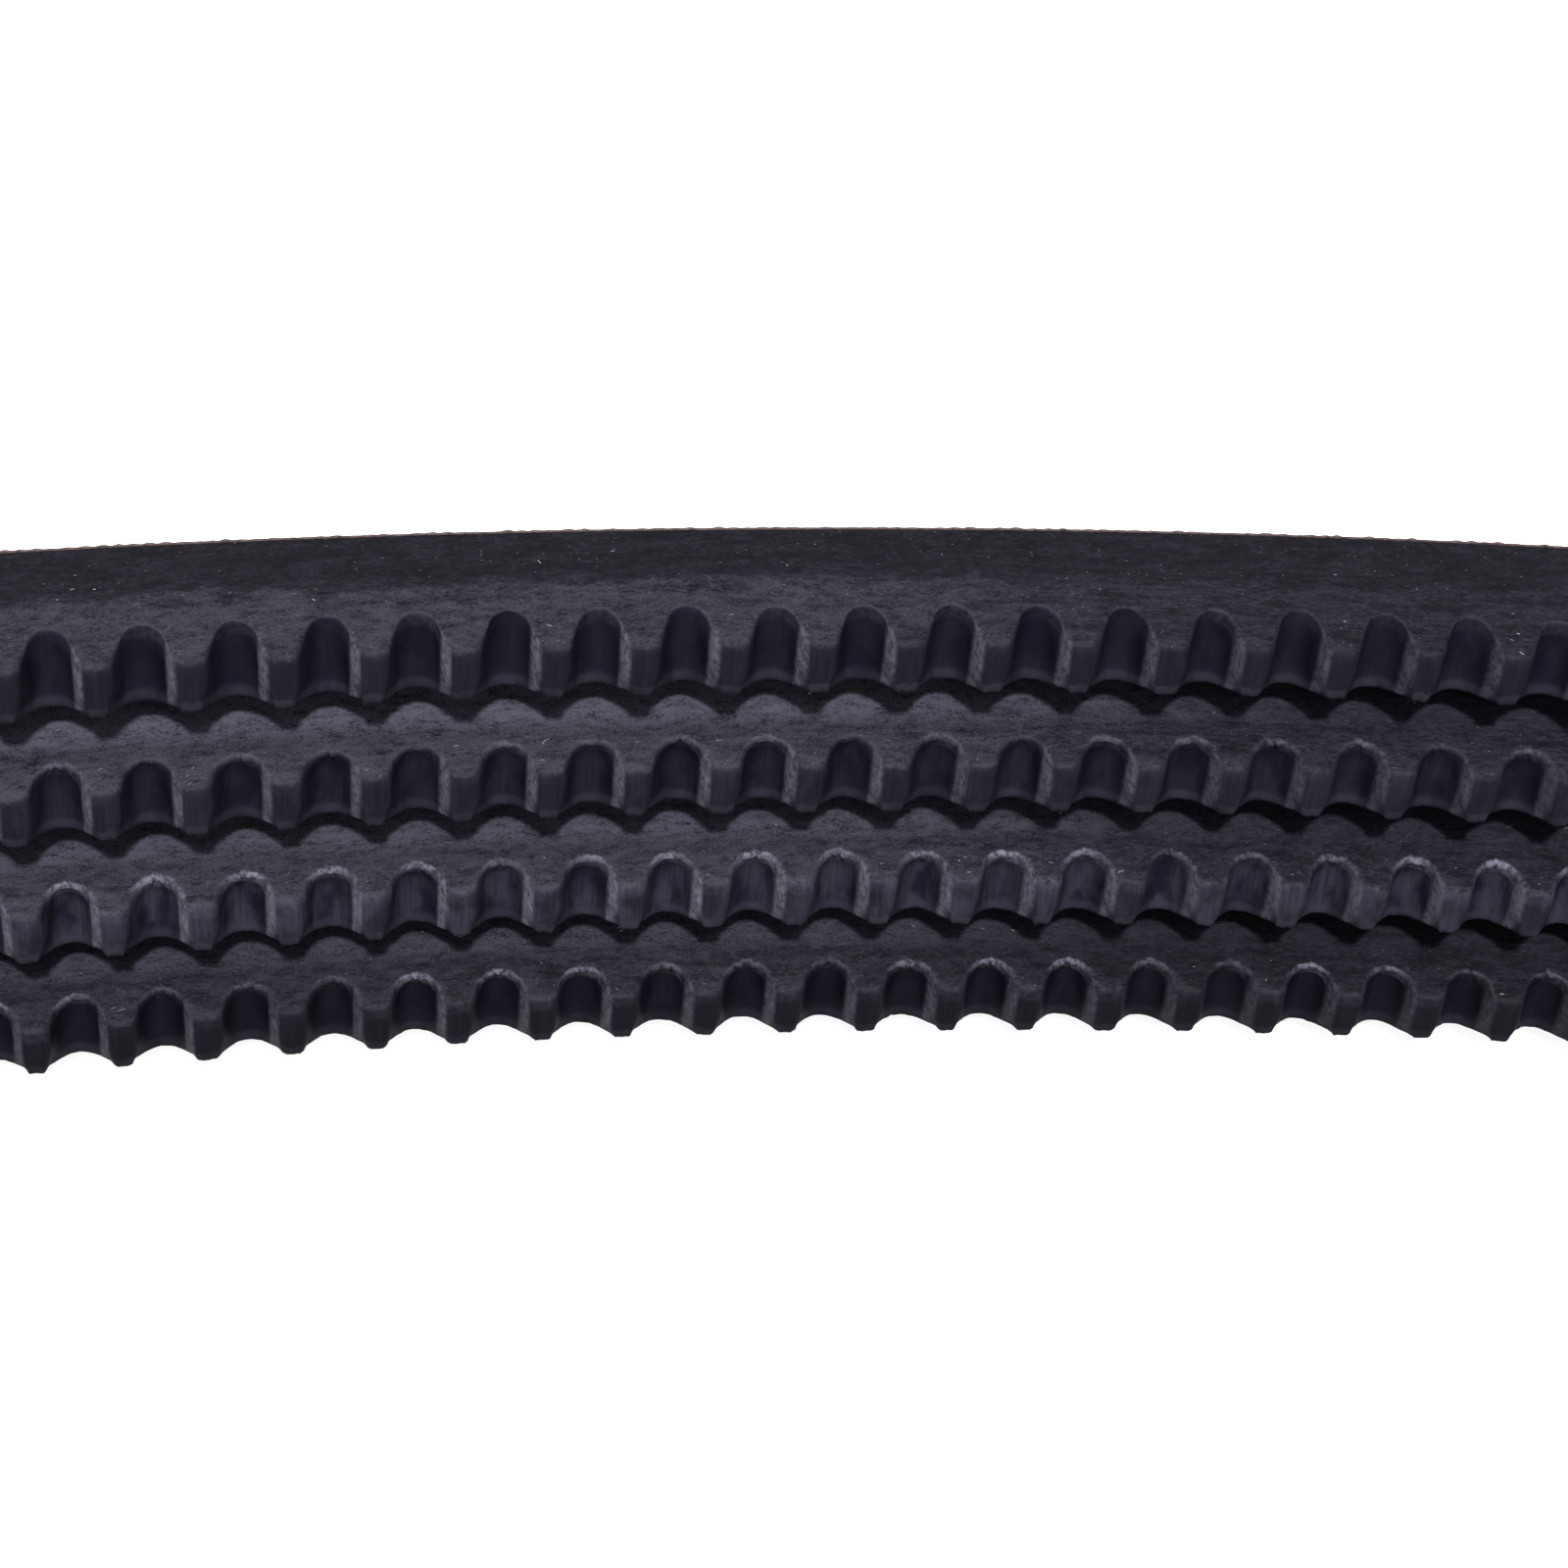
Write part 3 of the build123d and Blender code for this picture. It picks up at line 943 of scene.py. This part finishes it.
for rib in range(1, RIB_COUNT + 1):
    row = rib - 1
    rubber = raw_edge_rubber(f"fibre_rubber_rib_{rib}", rib, FINISHES[row])
    shifts = bar_shift + rng.normal(0, 0.05, COG_COUNT) * MM
    mouths = NOTCH_MOUTH_WIDTH / 2 + rng.normal(0, 0.05, COG_COUNT) * MM
    depths = NOTCH_DEPTH + rng.normal(0, 0.07, COG_COUNT) * MM
    columns = cog_columns(shifts, mouths, depths)

    body = cogged_piece(
        f"rib_{rib}_cogged_body_ground",
        rib,
        columns,
        upper_lip=uneven_size(columns, ARCH_LIPS[row], COG_LIP, seed=60 + rib),
        lower_lip=uneven_size(columns, 0.60 * MM, 1.05 * MM, seed=80 + rib, raggedness=0.24),
        upper_flare=uneven_size(
            columns, ARCH_FLARES[row], 0, seed=120 + rib, floor_from=2.6 * MM
        ),
        lower_flare=uneven_size(
            columns, 0.30 * MM, -0.6 * MM, seed=100 + rib, floor_from=2.0 * MM
        ),
    )
    dress(body, rubber, "fibre_rubber", f"rib_{rib}_cogged_body")

    def edges(depth):
        return rib_middle(rib) - half_width(depth), rib_middle(rib) + half_width(depth)

    dress(
        layer_piece(f"rib_{rib}_overcord_gum_ground", TIE_BAND_DEPTH, CORD_DEPTH, edges),
        rubber, "gum_rubber", f"rib_{rib}_overcord_gum",
    )
    dress(
        layer_piece(f"rib_{rib}_cushion_gum_ground", CORD_DEPTH, CUSHION_DEPTH, edges),
        rubber, "gum_rubber", f"rib_{rib}_cushion_gum",
    )
    fibres = fibre_piece(f"rib_{rib}_fibre_ends", rib, FIBRES_PER_RIB)
    dress(fibres, fibre_material, "polyester_cord")

    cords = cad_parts[f"rib_{rib}_tensile_cords"]
    cords.data.materials.clear()
    cords.data.materials.append(cord_material)


# ---------------------------------------------------------------- floor, light and camera

def add_floor(size):
    """A bright floor under the belt, which doesn't throw its light back onto the belt."""
    corners = np.array(((-1, -1, 0), (1, -1, 0), (1, 1, 0), (-1, 1, 0))) * size / 2
    floor = new_mesh("studio_floor", corners, np.arange(4)[None, :])
    floor.data.materials.append(floor_material("studio_floor"))
    floor.visible_diffuse = False
    floor.visible_glossy = False
    return floor


def add_light(name, place, target, size, power, colour=(1, 1, 1)):
    """A square area light that faces its target."""
    data = bpy.data.lights.new(name, "AREA")
    data.shape = "SQUARE"
    data.size = size
    data.energy = power
    data.color = colour
    light = bpy.data.objects.new(name, data)
    light.location = place
    light.rotation_euler = (Vector(target) - Vector(place)).to_track_quat("-Z", "Y").to_euler()
    bpy.context.scene.collection.objects.link(light)
    return light


def light_only(light, piece):
    """Makes a light shine on one piece alone, with nothing else in its way."""
    linked = bpy.data.collections.new(f"{light.name}_target")
    linked.objects.link(piece)
    light.light_linking.receiver_collection = linked
    light.light_linking.blocker_collection = linked


def direction(azimuth, elevation):
    """The unit vector towards a light. Azimuth 0 is the camera's side, -Y, and 90 is +X."""
    turn, rise = radians(azimuth), radians(elevation)
    return Vector((sin(turn) * cos(rise), -cos(turn) * cos(rise), sin(rise)))


floor = add_floor(size=12.0)

# The lights and the camera are placed from the upper back edge, at the middle of the +Y side.
LIGHT_DISTANCE = 2.2
far_edge = Vector((0, cad_high.y, cad_high.z))
add_light(
    "key_light", far_edge + direction(-5, 51) * LIGHT_DISTANCE, far_edge,
    size=0.14, power=48, colour=(0.93, 0.95, 1.0),
)
add_light(
    "front_light", far_edge + direction(6, 29) * LIGHT_DISTANCE, far_edge,
    size=0.5, power=2.5,
)
add_light(
    "fill_light", far_edge + direction(20, 75) * LIGHT_DISTANCE, far_edge,
    size=2.0, power=20,
)

# The floor has a light of its own. So has the dark cover, which is lit softly from four sides.
floor_light = add_light("floor_light", (0, 0, 6), (0, 0, 0), size=8.0, power=720)
light_only(floor_light, floor)
for side, azimuth in (("near", 10), ("right", 100), ("back", 190), ("left", 280)):
    place = direction(azimuth, 14) * 1.6
    soft_light = add_light(f"{side}_soft_light", place, (0, 0, 0.03), size=0.8, power=9)
    light_only(soft_light, cover)

# A small light near the left end of the view grazes the dusty flanks there.
left_end = far_edge + Vector((-130 * MM, 0, -30 * MM))
add_light("side_light", left_end + direction(-72, 30) * 0.45, left_end, size=0.22, power=1.1)

world = bpy.data.worlds.new("studio")
world.use_nodes = True
world.node_tree.nodes["Background"].inputs["Color"].default_value = (0.92, 0.94, 1.0, 1)
world.node_tree.nodes["Background"].inputs["Strength"].default_value = 0.38
bpy.context.scene.world = world
bpy.context.scene.view_settings.view_transform = "Standard"


def add_camera():
    """Looks down into the loop at the notched side of the far strand."""
    yaw, pitch, roll = radians(8.58), radians(38.67), radians(5.31)
    forward = Vector((sin(yaw) * cos(pitch), cos(yaw) * cos(pitch), -sin(pitch)))
    level_right = Vector((cos(yaw), -sin(yaw), 0))
    level_up = level_right.cross(forward)
    right = level_right * cos(roll) + level_up * sin(roll)
    up = level_up * cos(roll) - level_right * sin(roll)
    data = bpy.data.cameras.new("camera")
    data.sensor_width = 36.0
    data.lens = 77.68
    data.clip_start = 0.01
    camera = bpy.data.objects.new("camera", data)
    turn = Matrix((right, up, -forward)).transposed()
    place = far_edge + Vector((-63.40, -317.23, 218.64)) * MM
    camera.matrix_world = Matrix.Translation(place) @ turn.to_4x4()
    bpy.context.scene.collection.objects.link(camera)
    bpy.context.scene.camera = camera


add_camera()
